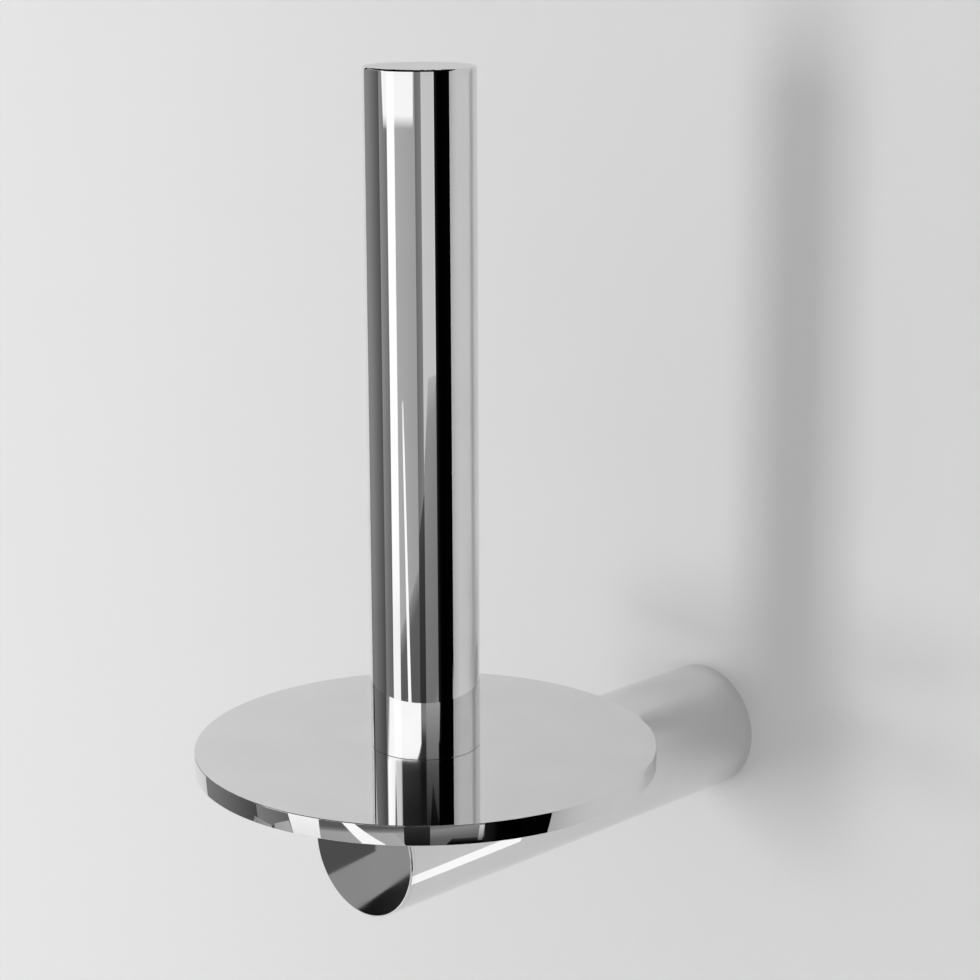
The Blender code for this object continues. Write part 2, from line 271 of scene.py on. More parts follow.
key_data = bpy.data.lights.new("soft_box", "AREA")
key_data.shape = "RECTANGLE"
key_data.size = 2 * STUDIO_RADIUS * math.tan(math.radians(KEY_TO - KEY_FROM) / 2)
key_data.size_y = KEY_HEIGHT
key_data.energy = KEY_WATTS
key = bpy.data.objects.new("soft_box", key_data)
scene.collection.objects.link(key)
key.location = around((KEY_FROM + KEY_TO) / 2)
aim = (POST_AXIS - key.location).normalized()
key.rotation_euler = aim.to_track_quat("-Z", "Y").to_euler()
key.visible_camera = False
key.visible_glossy = False
key.visible_transmission = False
print("soft box is", round(key_data.size, 2), "m wide at", tuple(round(value, 2) for value in key.location))

# %% [markdown]
# ## Cards for the mirror
#
# A photographer who shoots chrome hangs black, grey and white cards all round it, and the mirror turns them
# into clean upright bands. Each card here is a sheet that glows at a set level and is seen only by mirrors:
# it lights nothing and casts no shadow. A path of light that has met the wall or the floor goes straight
# through it, so that the chrome throws no pattern of cards back on them.
#
# The cards hang on one large drum round the post, so a corner is a direction and a height. A card is bent to
# the drum from a flat grid, because a straight one would come nearer in its middle and show a curved edge.
# Its tones are written as they should look in the chrome, and are divided by how much the chrome gives back.
# What the post's foot shows has met the chrome twice, by way of the plate, so a card that is seen only there
# is divided twice.

# %% Card paint
CHROME_GIVES_BACK = 0.785


def one_tone(hex_colour):
    """The same tone from one end of a card to the other."""
    return [(0, hex_colour), (1, hex_colour)]


EVEN = one_tone("#FFFFFF")


def card_paint(name, tones, upright, shade, bounces):
    """A glow whose tones run up the card, or along it if not upright. The shade darkens it crosswise."""
    made, tree = new_material(name)
    place = add(tree, "ShaderNodeTexCoord")
    split = add(tree, "ShaderNodeSeparateXYZ", links={"Vector": place.outputs["UV"]})
    ramp = colour_steps(tree, split.outputs["Y" if upright else "X"], tones)
    crosswise = colour_steps(tree, split.outputs["X" if upright else "Y"], shade)
    both = add(tree, "ShaderNodeVectorMath", {"operation": "MULTIPLY"})
    tree.links.new(ramp.outputs["Color"], both.inputs[0])
    tree.links.new(crosswise.outputs["Color"], both.inputs[1])
    glow = add(tree, "ShaderNodeEmission", values={"Strength": CHROME_GIVES_BACK ** -bounces},
               links={"Color": both.outputs[0]})
    clear = add(tree, "ShaderNodeBsdfTransparent")
    path = add(tree, "ShaderNodeLightPath")
    from_wall = add(tree, "ShaderNodeMath", {"operation": "GREATER_THAN"},
                    links={"Value": path.outputs["Diffuse Depth"]})
    seen_or_clear = add(tree, "ShaderNodeMixShader", links={"Fac": from_wall.outputs[0]})
    tree.links.new(glow.outputs[0], seen_or_clear.inputs[1])
    tree.links.new(clear.outputs[0], seen_or_clear.inputs[2])
    add(tree, "ShaderNodeOutputMaterial", links={"Surface": seen_or_clear.outputs[0]})
    return made


# %% Card maker
CARD_STEP = 2.0
LAYER_GAP = 0.005


def card(name, corners, bend, tones, upright=True, steps=1, shade=EVEN, bounces=1):
    """A card between four corners: lower left, lower right, upper right, upper left.

    A corner is any pair of numbers, such as a direction and a height: bend makes a point in space of it.
    """
    lower_left, lower_right, upper_right, upper_left = corners
    shape = bmesh.new()
    flat_place = shape.loops.layers.uv.new("card")
    bmesh.ops.create_grid(shape, x_segments=steps, y_segments=1, size=0.5)
    for face in shape.faces:
        for loop in face.loops:
            loop[flat_place].uv = (loop.vert.co.x + 0.5, loop.vert.co.y + 0.5)
    for vertex in shape.verts:
        along, up = vertex.co.x + 0.5, vertex.co.y + 0.5
        low = Vector(lower_left).lerp(Vector(lower_right), along)
        high = Vector(upper_left).lerp(Vector(upper_right), along)
        vertex.co = bend(low.lerp(high, up))
    data = bpy.data.meshes.new(name)
    shape.to_mesh(data)
    shape.free()
    data.materials.append(card_paint(name, tones, upright, shade, bounces))
    made = bpy.data.objects.new(name, data)
    scene.collection.objects.link(made)
    made.visible_camera = False
    made.visible_diffuse = False
    made.visible_transmission = False
    made.visible_shadow = False
    return made


def drum_card(name, corners, tones, upright=True, layer=0, shade=EVEN, bounces=1):
    """A card on the drum. Each corner is (direction in degrees, height in metres at the drum itself).

    A card in a higher layer hangs nearer and covers the ones behind it. It is made smaller by as much, so
    that it covers the same part of what the post sees.
    """
    share = 1 - layer * LAYER_GAP / STUDIO_RADIUS

    def bend(point):
        return around(point.x, STUDIO_RADIUS * share) + Vector((0, 0, point.y * share))

    steps = math.ceil(abs(corners[1][0] - corners[0][0]) / CARD_STEP)
    return card(name, corners, bend, tones, upright, steps, shade, bounces)


def across(name, left, right, low, high, tones, upright=True, layer=0, shade=EVEN, bounces=1):
    """A card on the drum with upright sides and level edges."""
    corners = [(left, low), (right, low), (right, high), (left, high)]
    return drum_card(name, corners, tones, upright, layer, shade, bounces)


# %% [markdown]
# First come the boards that stand from the floor to the ceiling. From left to right the real chrome shows a
# board that darkens towards its right edge, a paler one, a white strip, a wide middle-grey board, a dark
# post, a pale screen, and then black up to the wall. Directions are in degrees, 0 straight out from the wall
# and 90 to the right. Heights are in metres above the arm's axis.

# %% Boards round the room
LOW = -1.58
TOP = 1.55
EAVES = 1.093
BOX_SEAM = 0.98
STRIP_KNEE = -0.96
LEFT_TOP = 1.30
DRUM_END = 92
LEFT_END = -43.6
STRIP_LEFT = -24.2
MIDDLE_START = -7
POST_START = 35
SCREEN_START = 47.4
SCREEN_END = 73.4
STRIP_LAYER = 18
GREY_BOARD = [(0, "#848484"), (0.3, "#7C7C7C"), (0.65, "#676767"), (1, "#4D4D4D")]

across("left_board", -DRUM_END, LEFT_END, LOW, EAVES, GREY_BOARD, upright=False,
       shade=[(0, "#E2E2E2"), (0.22, "#E6E6E6"), (0.34, "#FFFFFF"), (0.9, "#FFFFFF"), (1, "#EEEEEE")])
drum_card("left_board_top", [(-DRUM_END, EAVES), (LEFT_END, EAVES), (LEFT_END, LEFT_TOP), (-70, LEFT_TOP)],
          GREY_BOARD, upright=False, shade=[(0, "#EEEEEE"), (1, "#E0E0E0")])
drum_card("second_board", [(-44, LOW), (-20, LOW), (-24.3, TOP), (-45.6, TOP)],
          [(0, "#8B8B8B"), (1, "#6A6A6A")], upright=False, layer=2,
          shade=[(0, "#DFDFDF"), (0.22, "#DFDFDF"), (0.35, "#FFFFFF"), (1, "#FFFFFF")])
across("middle_board", MIDDLE_START, POST_START, LOW, TOP, [(0, "#A8A8A8"), (1, "#9C9C9C")], upright=False)
across("dark_post", POST_START, SCREEN_START, LOW, TOP,
       [(0, "#666666"), (0.3, "#707070"), (1, "#7B7B7B")], upright=False)
across("pale_screen", SCREEN_START, SCREEN_END, LOW, TOP,
       [(0, "#C3C3C3"), (0.9, "#C0C0C0"), (0.96, "#CCCCCC"), (1, "#CCCCCC")], upright=False)
across("black_end", SCREEN_END, DRUM_END, LOW, TOP,
       [(0, "#181818"), (0.22, "#101010"), (0.35, "#020202"), (1, "#000000")], upright=False)
drum_card("white_strip",
          [(-20.4, LOW), (MIDDLE_START, LOW), (MIDDLE_START, STRIP_KNEE), (STRIP_LEFT, STRIP_KNEE)],
          [(0, "#DCDCDC"), (0.4, "#E2E2E2"), (1, "#F2F2F2")], layer=4)
drum_card("white_strip_upper",
          [(STRIP_LEFT, STRIP_KNEE), (MIDDLE_START, STRIP_KNEE), (-6.8, BOX_SEAM), (-24.5, BOX_SEAM)],
          [(0, "#F2F2F2"), (0.06, "#F2F2F2"), (0.12, "#FFFFFF"), (1, "#FFFFFF")], layer=STRIP_LAYER)
drum_card("white_strip_high", [(-24.5, BOX_SEAM), (-6.8, BOX_SEAM), (-6.6, EAVES), (-24.6, EAVES)],
          one_tone("#FDFDFD"), layer=STRIP_LAYER, bounces=2)

# %% [markdown]
# Then come the low parts. A dark skirting runs along the foot of the boards and rises to the right, as a
# line does in perspective, and below it lies a paler ground. Where the ground ends, on the far left and
# under the pale screen, it is dark. A leaning white bar crosses skirting and ground.

# %% Skirting and ground
GROUND_CORNER = -46.76
GROUND_START = -50
GROUND_EDGE = -1.42
SKIRTING_LAYER = 6
GROUND_LAYER = 12

drum_card("skirting",
          [(MIDDLE_START, -1.16), (POST_START, -1.09), (POST_START, -0.76), (MIDDLE_START, -0.865)],
          [(0, "#989898"), (0.12, "#767676"), (0.28, "#585858"), (0.6, "#585858"), (0.86, "#5F5F5F"),
           (1, "#8C8C8C")], layer=SKIRTING_LAYER)
drum_card("ground", [(MIDDLE_START, LOW), (41.5, LOW), (30.5, -1.09), (MIDDLE_START, -1.155)],
          [(0, "#989898"), (1, "#A6A6A6")], upright=False, layer=GROUND_LAYER)
drum_card("left_ground", [(-34.6, LOW), (-20, LOW), (-24, -1.09), (-33.2, -1.19)],
          [(0, "#9E9E9E"), (1, "#A8A8A8")], upright=False, layer=3)
drum_card("left_ground_middle",
          [(GROUND_CORNER, GROUND_EDGE), (-35.0, GROUND_EDGE), (-35.4, -1.23), (GROUND_CORNER, -1.155)],
          [(0, "#888888"), (1, "#989898")], upright=False, layer=SKIRTING_LAYER)
drum_card("left_ground_far",
          [(GROUND_START, GROUND_EDGE), (GROUND_CORNER, GROUND_EDGE), (GROUND_CORNER, -1.1945),
           (GROUND_START, -1.281)],
          [(0, "#848484"), (1, "#888888")], upright=False, layer=SKIRTING_LAYER)
drum_card("left_end_of_ground",
          [(GROUND_START, -1.50), (-45.3, -1.50), (-45.3, -1.213), (GROUND_START, -1.386)],
          [(0, "#0A0A0A"), (0.6, "#0A0A0A"), (0.9, "#282828"), (1, "#282828")], upright=False,
          layer=GROUND_LAYER)
drum_card("left_gap", [(-36, -1.36), (-34.4, -1.36), (-34.2, -1.22), (-35.2, -1.24)],
          one_tone("#0E0E0E"), layer=GROUND_LAYER)

# %% Feet of the dark post and the screen, and the leaning bar
BAR_KNEE = -0.965
BAR_LAYER = 14

drum_card("post_foot",
          [(POST_START, LOW), (SCREEN_START, LOW), (SCREEN_START, -0.645), (POST_START, -0.715)],
          [(0, "#121212"), (0.26, "#151515"), (0.56, "#252525"), (0.7, "#303030"), (0.92, "#3A3A3A"),
           (1, "#484848")], layer=10)
drum_card("screen_foot",
          [(SCREEN_START, LOW), (SCREEN_END, LOW), (SCREEN_END, -0.484), (SCREEN_START, -0.62)],
          [(0, "#585858"), (0.34, "#5A5A5A"), (0.41, "#626262"), (0.485, "#747474"), (0.56, "#828282"),
           (0.595, "#6E6E6E"), (0.72, "#757575"), (0.88, "#818181"), (1, "#8C8C8C")], layer=SKIRTING_LAYER)
drum_card("screen_foot_top",
          [(SCREEN_START, -0.615), (SCREEN_END, -0.562), (SCREEN_END, -0.474), (57, -0.48)],
          [(0, "#888888"), (0.5, "#8F8F8F"), (1, "#ACACAC")], layer=SKIRTING_LAYER)
drum_card("screen_wedge", [(53, GROUND_EDGE), (SCREEN_END, GROUND_EDGE), (SCREEN_END, -1.20), (58, -1.20)],
          [(0, "#060606"), (0.6, "#080808"), (0.85, "#242424"), (1, "#4A4A4A")], layer=8)
drum_card("screen_sliver", [(70.2, -1.27), (72.4, -1.27), (73.3, -0.985), (71.0, -0.985)],
          [(0, "#505050"), (0.12, "#707070"), (0.4, "#9E9E9E"), (0.67, "#B0B0B0"), (1, "#CCCCCC")],
          layer=BAR_LAYER)
drum_card("bar_low", [(15, -1.34), (26.8, -1.34), (11.2, BAR_KNEE), (5.0, BAR_KNEE)],
          [(0, "#F7F7F7"), (1, "#FAFAFA")], layer=BAR_LAYER)
drum_card("bar_high", [(9.6, BAR_KNEE), (16.2, BAR_KNEE), (5.9, -0.512), (2.6, -0.512)],
          [(0, "#FBFBFB"), (0.85, "#FFFFFF"), (1, "#DCDCDC")], layer=BAR_LAYER)

# %% [markdown]
# High up hangs a wide bright box. The post's head shows its lower edge, and the foot of the post shows the
# rest of it by way of the plate, up to a dark corner at its upper right. Above the box the ceiling is dark
# in the middle. On the right the boards fade into it in soft steps, with a black wedge in them, and on the
# left it is white, with a grey wedge in it.

# %% Bright box
BOX_LEFT = -37
BOX_FOOT = -0.04
BOX_FRINGE = -0.122
BOX_RIGHT = 36.2
BOX_CORNER_RIGHT = BOX_RIGHT + 0.2
BOX_WHITE = "#F6F6F6"
BOX_LAYER = 14
CEILING_LAYER = 16

drum_card("bright_box_foot", [(-33, BOX_FRINGE), (31.6, BOX_FRINGE), (32.4, BOX_FOOT), (BOX_LEFT, BOX_FOOT)],
          [(0, "#ACACAC"), (0.2, BOX_WHITE), (1, BOX_WHITE)], layer=BOX_LAYER)
drum_card("bright_box",
          [(BOX_LEFT, BOX_FOOT), (32.4, BOX_FOOT), (BOX_RIGHT, BOX_SEAM), (BOX_LEFT, BOX_SEAM)],
          one_tone(BOX_WHITE), layer=BOX_LAYER)
drum_card("bright_box_high",
          [(BOX_LEFT, BOX_SEAM), (BOX_RIGHT, BOX_SEAM), (BOX_RIGHT, EAVES), (-43.4, EAVES)],
          [(0, "#A0A0A0"), (0.06, BOX_WHITE), (1, BOX_WHITE)], upright=False, layer=BOX_LAYER, bounces=2)
drum_card("box_corner",
          [(35.0, 1.0715), (BOX_CORNER_RIGHT, 1.068), (BOX_CORNER_RIGHT, EAVES), (21.5, EAVES)],
          [(0, "#303030"), (1, "#3A3A3A")], layer=CEILING_LAYER, bounces=2)

# %% Ceiling
CEILING_LEFT = -44
CEILING_STRIP = -22
CEILING_START = -6
CEILING_END = 34
CEILING_CORNER = 40
GAP_FOOT = 1.0
GAP_RIGHT = 46.7
RIGHT_END = 73
WEDGE_TOP = 1.20
RIGHT_LAYER = 12

drum_card("ceiling",
          [(CEILING_START, EAVES), (CEILING_END, EAVES), (CEILING_CORNER, TOP), (CEILING_START, TOP)],
          [(0, "#3D3D3D"), (0.05, "#323232"), (0.12, "#2B2B2B"), (0.17, "#242424"), (1, "#242424")],
         
          layer=CEILING_LAYER, bounces=2,
          shade=[(0, "#FFFFFF"), (0.5, "#E8E8E8"), (0.83, "#DADADA"), (1, "#C0C0C0")])
across("ceiling_gap_low", BOX_RIGHT, GAP_RIGHT, GAP_FOOT, EAVES,
       [(0, "#787878"), (0.34, "#777777"), (0.46, "#656565"), (0.6, "#434343"), (0.7, "#323232"),
        (1, "#2A2A2A")], layer=BOX_LAYER, bounces=2)
drum_card("ceiling_gap_high",
          [(CEILING_END, EAVES), (GAP_RIGHT, EAVES), (GAP_RIGHT, TOP), (CEILING_CORNER, TOP)],
          [(0, "#1E1E1E"), (0.05, "#151515"), (1, "#141414")], layer=CEILING_LAYER, bounces=2)
drum_card("ceiling_right_low",
          [(GAP_RIGHT, GAP_FOOT), (76.5, GAP_FOOT), (RIGHT_END, EAVES), (GAP_RIGHT, EAVES)],
          [(0, "#929292"), (0.12, "#8E8E8E"), (0.33, "#848484"), (0.65, "#757575"), (1, "#6A6A6A")],
          layer=RIGHT_LAYER, bounces=2)
across("ceiling_right_high", GAP_RIGHT, RIGHT_END, EAVES, TOP,
       [(0, "#565656"), (0.05, "#4A4A4A"), (0.13, "#3A3A3A"), (0.21, "#262626"), (1, "#161616")],
       layer=RIGHT_LAYER, bounces=2)
across("ceiling_end", 72.7, 80, 1.065, TOP, one_tone("#020202"), layer=CEILING_LAYER)
drum_card("ceiling_wedge", [(59.5, 1.13), (60.5, 1.13), (76, WEDGE_TOP), (53.5, WEDGE_TOP)],
          [(0, "#2A2A2A"), (0.35, "#151515"), (0.7, "#090909"), (1, "#090909")],
          layer=CEILING_LAYER, bounces=2)
across("ceiling_left", CEILING_LEFT, CEILING_STRIP, EAVES, TOP,
       [(0, "#A0A0A0"), (0.14, "#FFFFFF"), (0.8, "#F4F4F4"), (1, "#E6E6E6")],
       upright=False, layer=CEILING_LAYER, bounces=2)
across("ceiling_strip", CEILING_STRIP, CEILING_START, EAVES, TOP,
       [(0, "#DADADA"), (0.3, "#C8C8C8"), (0.8, "#C4C4C4"), (1, "#909090")],
       upright=False, layer=CEILING_LAYER, bounces=2)
drum_card("ceiling_gap", [(-22.3, 1.115), (-21.7, 1.115), (-9, TOP), (-36, TOP)],
          [(0, "#5C5C5C"), (1, "#8C8C8C")], upright=False, layer=STRIP_LAYER, bounces=2)

# %% [markdown]
# A dark lid closes the drum. It draws the fine black line along the broken edges of the post and the plate,
# because a bevel throws the line of sight steeply up.

# %% Lid
LID_HOLE = 0.02


def lid_point(point):
    """A point of the lid from a direction and a distance from the post's axis."""
    return around(point.x, point.y) + Vector((0, 0, TOP))


card("dark_lid",
     [(-DRUM_END, STUDIO_RADIUS), (DRUM_END, STUDIO_RADIUS), (DRUM_END, LID_HOLE), (-DRUM_END, LID_HOLE)],
     lid_point, [(0, "#080808"), (0.6, "#080808"), (1, "#303030")],
     steps=math.ceil(2 * DRUM_END / CARD_STEP))

# %% [markdown]
# The wall that the real chrome shows isn't endless. It ends a third of a metre to the right of the holder,
# with black beyond, and half a metre to the left, with grey beyond. Its top is a hand's breadth above the
# post. Cards that lie just in front of the wall do the same. The black above is left out in the middle, so
# that the plate still mirrors a pale wall when it is seen from above. Two small cards are left. One is what
# the flat top of the post mirrors, a little darker than the wall. The other is white and draws the bright
# line along the side of the arm.

# %% Cards on the wall
OFF_WALL = 0.002
WALL_REACH = STUDIO_RADIUS + 0.1
ABOVE = 3
END_KNEE = -0.068
END_LEFT = -0.50
END_TOP = 0.268
END_UPPER_RIGHT = 0.605
PALE_FROM = -0.165
PALE_TO = 0.07
BLACK = one_tone("#020202")


def wall_card(name, corners, tones):
    """A card just in front of the wall. Each corner is (across, up) in metres."""
    return card(name, corners, lambda point: Vector((point.x, -OFF_WALL, point.y)), tones)


wall_card("wall_end",
          [(0.311, END_KNEE), (WALL_REACH, END_KNEE), (WALL_REACH, ABOVE), (END_UPPER_RIGHT, ABOVE)], BLACK)
wall_card("post_top_strip", [(-0.16, 0.165), (-0.075, 0.165), (-0.075, 0.19), (-0.16, 0.19)],
          one_tone("#BDBDBD"))
wall_card("wall_top_left",
          [(-WALL_REACH, END_TOP), (PALE_FROM, END_TOP), (PALE_FROM, ABOVE), (-WALL_REACH, ABOVE)], BLACK)
wall_card("wall_top_right",
          [(PALE_TO, END_TOP), (0.34, END_TOP), (END_UPPER_RIGHT, ABOVE), (PALE_TO, ABOVE)], BLACK)
wall_card("wall_end_foot",
          [(0.443, -0.22), (WALL_REACH, -1.5), (WALL_REACH, END_KNEE), (0.341, END_KNEE)], BLACK)
wall_card("wall_end_left",
          [(-WALL_REACH, -0.974), (END_LEFT, -0.142), (END_LEFT, 0.19), (-WALL_REACH, 1.0)],
          [(0, "#727272"), (0.6, "#848484"), (1, "#848484")])
wall_card("arm_line", [(0.088, -0.150), (0.128, -0.124), (0.080, -0.060), (0.058, -0.078)],
          one_tone("#F8F8F8"))

# %% [markdown]
# ## Chrome
#
# Decorative chrome is a layer of nickel and chromium, far thinner than a hair, on polished brass. It is a
# nearly neutral, slightly cool mirror. What tells it from a perfect mirror is the polishing: very fine,
# shallow swirls from the mop, and places that were buffed a little less and are a touch softer. The swirls
# are about half a millimetre apart and the soft places some 15 mm across. Both are kept faint, because the
# real piece looks flawless from half a metre.

# %% Chrome plate
SOFT_PLACES = 15 * MM
SWIRLS = 0.5 * MM
SWIRL_DEPTH = 0.002 * MM
NOISE_RANGE = {"From Min": 0.3, "From Max": 0.7}


def chrome_plate():
    """Chrome on polished brass: a cool mirror with faint mop swirls and slightly softer patches."""
    made, tree = new_material("chrome_plate_mop_polished")
    place = add(tree, "ShaderNodeTexCoord")
    patches = add(tree, "ShaderNodeTexNoise", values={"Scale": 1 / SOFT_PLACES, "Detail": 3.0},
                  links={"Vector": place.outputs["Object"]})
    swirls = add(tree, "ShaderNodeTexNoise", values={"Scale": 1 / SWIRLS, "Detail": 2.0, "Distortion": 2.0},
                 links={"Vector": place.outputs["Object"]})
    softness = add(tree, "ShaderNodeMapRange", values={**NOISE_RANGE, "To Min": 0.008, "To Max": 0.03},
                   links={"Value": patches.outputs[0]})
    tint = colour_steps(tree, patches.outputs[0], [(0.3, "#E7E7E7"), (0.7, "#E3E3E3")])
    relief = add(tree, "ShaderNodeBump", values={"Strength": 0.02, "Distance": SWIRL_DEPTH},
                 links={"Height": swirls.outputs[0]})
    shader = add(tree, "ShaderNodeBsdfPrincipled",
                 values={"Metallic": 1.0, "Specular Tint": linear("#F8F8F8")},
                 links={"Base Color": tint.outputs["Color"], "Roughness": softness.outputs[0],
                        "Normal": relief.outputs[0]})
    add(tree, "ShaderNodeOutputMaterial", links={"Surface": shader.outputs[0]})
    return made


chrome = chrome_plate()
print("made", chrome.name)

# %% [markdown]
# ## Turning tools
#
# Every large piece came off a lathe, so each is an outline spun about an axis. Mirrors need three things
# from such a mesh. It has many steps round it. Its edges are broken by a small bevel, because a real edge
# always catches a line of light. And the bevel is kept apart from the flat and round faces by sharp
# edges, so that it can't pull their reflections out of line.

# %% Turning tools
ROUND_STEPS = 360
BEVEL_STEPS = 3
DOUBLES = 0.00001 * MM
SAME_RING = 0.001 * MM
CREASE = math.radians(30)


def turned(outline):
    """Spins (radius, height) points about Z into a closed shape."""
    shape = bmesh.new()
    points = [shape.verts.new((radius, 0, height)) for radius, height in outline]
    edges = [shape.edges.new(pair) for pair in zip(points, points[1:])]
    if outline[0][0] > 0:
        edges.append(shape.edges.new((points[-1], points[0])))
    bmesh.ops.spin(shape, geom=points + edges, cent=(0, 0, 0), axis=(0, 0, 1), dvec=(0, 0, 0),
                   angle=math.tau, steps=ROUND_STEPS, use_merge=True)
    bmesh.ops.remove_doubles(shape, verts=shape.verts, dist=DOUBLES)
    bmesh.ops.recalc_face_normals(shape, faces=shape.faces)
    for face in shape.faces:
        face.smooth = True
    return shape


def break_edge(shape, radius, height, width):
    """Bevels the ring at one radius and height, and parts the bevel from its neighbours."""
    ring = []
    for edge in shape.edges:
        off = max(max(abs(end.co.xy.length - radius), abs(end.co.z - height)) for end in edge.verts)
        if off < SAME_RING:
            ring.append(edge)
    made = bmesh.ops.bevel(shape, geom=ring, offset=width, offset_type="OFFSET", segments=BEVEL_STEPS,
                           profile=0.5, affect="EDGES", material=-1)
    bevel = set(made["faces"])
    for face in bevel:
        face.smooth = True
        for edge in face.edges:
            edge.smooth = all(side in bevel for side in edge.link_faces)
    return shape


def keep_creases(shape):
    """Marks every edge with a bend beyond the crease angle, so that flat faces stay flat."""
    for edge in shape.edges:
        if edge.calc_face_angle(0) > CREASE:
            edge.smooth = False


def finish_piece(name, shape, material, nodes, place=None):
    """Turns a shape into an object at the origin, riding on the body and standing for its nodes."""
    if place is not None:
        bmesh.ops.transform(shape, matrix=place, verts=shape.verts)
    keep_creases(shape)
    data = bpy.data.meshes.new(name)
    shape.to_mesh(data)
    shape.free()
    data.materials.append(material)
    made = bpy.data.objects.new(name, data)
    scene.collection.objects.link(made)
    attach(made, "root")
    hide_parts(*nodes)
    print(name, "has", len(data.polygons), "faces")
    return made


ALONG_ARM = Matrix.Rotation(math.pi / 2, 4, "X")
ALONG_POST = Matrix.Translation(POST_AXIS)

# %% [markdown]
# ## The plate
#
# The plate is a disc, turned on both faces and on its rim. The rim of the real one is very slightly
# crowned: its reflections are squeezed in height more than a straight rim would do. A crown of a few
# hundredths of a millimetre gives that. The hole for the stud and the shallow seat of the post are cut too.

# %% Roll plate
PLATE_EDGE = 0.15 * MM
PLATE_LOWER_EDGE = 0.05 * MM
RIM_CROWN = 0.028 * MM
RIM_RINGS = 12
SEAT_CLEARANCE = 0.02 * MM
STUD_HOLE = 4.3 * MM
SEAT_DEPTH = 0.3 * MM

seat_radius = POST_RADIUS + SEAT_CLEARANCE
plate_outline = [(STUD_HOLE, PLATE_BOTTOM)]
for ring in range(RIM_RINGS + 1):
    share = 2 * ring / RIM_RINGS - 1
    height = PLATE_BOTTOM + (PLATE_TOP - PLATE_BOTTOM) * ring / RIM_RINGS
    plate_outline.append((PLATE_RADIUS - RIM_CROWN * share ** 2, height))
plate_outline += [
    (seat_radius, PLATE_TOP),
    (seat_radius, PLATE_TOP - SEAT_DEPTH),
    (STUD_HOLE, PLATE_TOP - SEAT_DEPTH),
]
plate_shape = turned(plate_outline)
break_edge(plate_shape, PLATE_RADIUS - RIM_CROWN, PLATE_BOTTOM, PLATE_LOWER_EDGE)
break_edge(plate_shape, PLATE_RADIUS - RIM_CROWN, PLATE_TOP, PLATE_EDGE)
finish_piece("roll_plate_polished", plate_shape, chrome, ["roll_plate"], ALONG_POST)

# %% [markdown]
# ## The post
#
# The post is a tube with a cap pressed into its top. On the real one the joint between them can't be seen,
# so it is a hairline here, and the only edge that shows is the small bevel round the top. The foot has a
# finer bevel, which draws the thin dark line where the post stands on the plate.

# %% Post tube and cap
HAIRLINE = 0.01 * MM
POST_WALL = 1.5 * MM
CAP_FLANGE = 1.0 * MM
POST_CAP_EDGE = 0.45 * MM
FOOT_EDGE = 0.09 * MM
SPIGOT_WALL = 1.8 * MM
POST_SPIGOT = 8.0 * MM

post_bore = POST_RADIUS - POST_WALL
post_joint = POST_TOP - CAP_FLANGE
post_shape = turned([
    (post_bore, POST_FOOT),
    (POST_RADIUS, POST_FOOT),
    (POST_RADIUS, post_joint - HAIRLINE),
    (post_bore, post_joint - HAIRLINE),
])
break_edge(post_shape, POST_RADIUS, POST_FOOT, FOOT_EDGE)
finish_piece("post_tube_polished", post_shape, chrome, ["post_tube"], ALONG_POST)


def cap_shape(joint, face, radius, bore, spigot, edge):
    """A turned cap: a thin flange over the end of a tube, and a hollow spigot in its bore."""
    spigot_radius = bore - HAIRLINE
    hollow = spigot_radius - SPIGOT_WALL
    shape = turned([
        (0, joint),
        (hollow, joint),
        (hollow, joint - spigot),
        (spigot_radius, joint - spigot),
        (spigot_radius, joint),
        (radius, joint),
        (radius, face),
        (0, face),
    ])
    return break_edge(shape, radius, face, edge)


top_shape = cap_shape(post_joint, POST_TOP, POST_RADIUS, post_bore, POST_SPIGOT, POST_CAP_EDGE)
finish_piece("post_top_cap_polished", top_shape, chrome, ["post_top_cap"], ALONG_POST)

# %% [markdown]
# ## The arm
#
# The arm is a thicker tube, closed at the front by a cap like the post's. It has two holes: one on top for
# the bush that carries the plate, hidden under it, and one below, near the wall, for the set screw. A hole
# cut with a boolean bends the smooth shading of long faces, so the tube first gets rings close together
# around each hole, and only these small faces are touched.

# %% Arm tube and cap
ARM_WALL = 2.0 * MM
ARM_SPIGOT = 6.0 * MM
ARM_SEAM = 0.03 * MM
ARM_CAP_EDGE = 0.35 * MM
RING_SPACING = 0.5 * MM
HOLE_CLEARANCE = 0.1 * MM
DRILL_STEPS = 64

arm_bore = ARM_RADIUS - ARM_WALL
arm_joint = ARM_FRONT - CAP_FLANGE
tube_end = arm_joint - ARM_SEAM
screw_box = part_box("arm_set_screw")
screw_place = -(screw_box[LOWER].y + screw_box[UPPER].y) / 2
screw_hole = screw_box[UPPER].x + HOLE_CLEARANCE
bush_place = -POST_AXIS.y
bush_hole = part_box("seat_bush")[UPPER].x + HOLE_CLEARANCE


def rings_near(middle, reach):
    """Heights for extra rings on both sides of a hole."""
    count = math.ceil((reach + 2 * RING_SPACING) / RING_SPACING)
    return [middle + RING_SPACING * number for number in range(-count, count + 1)]


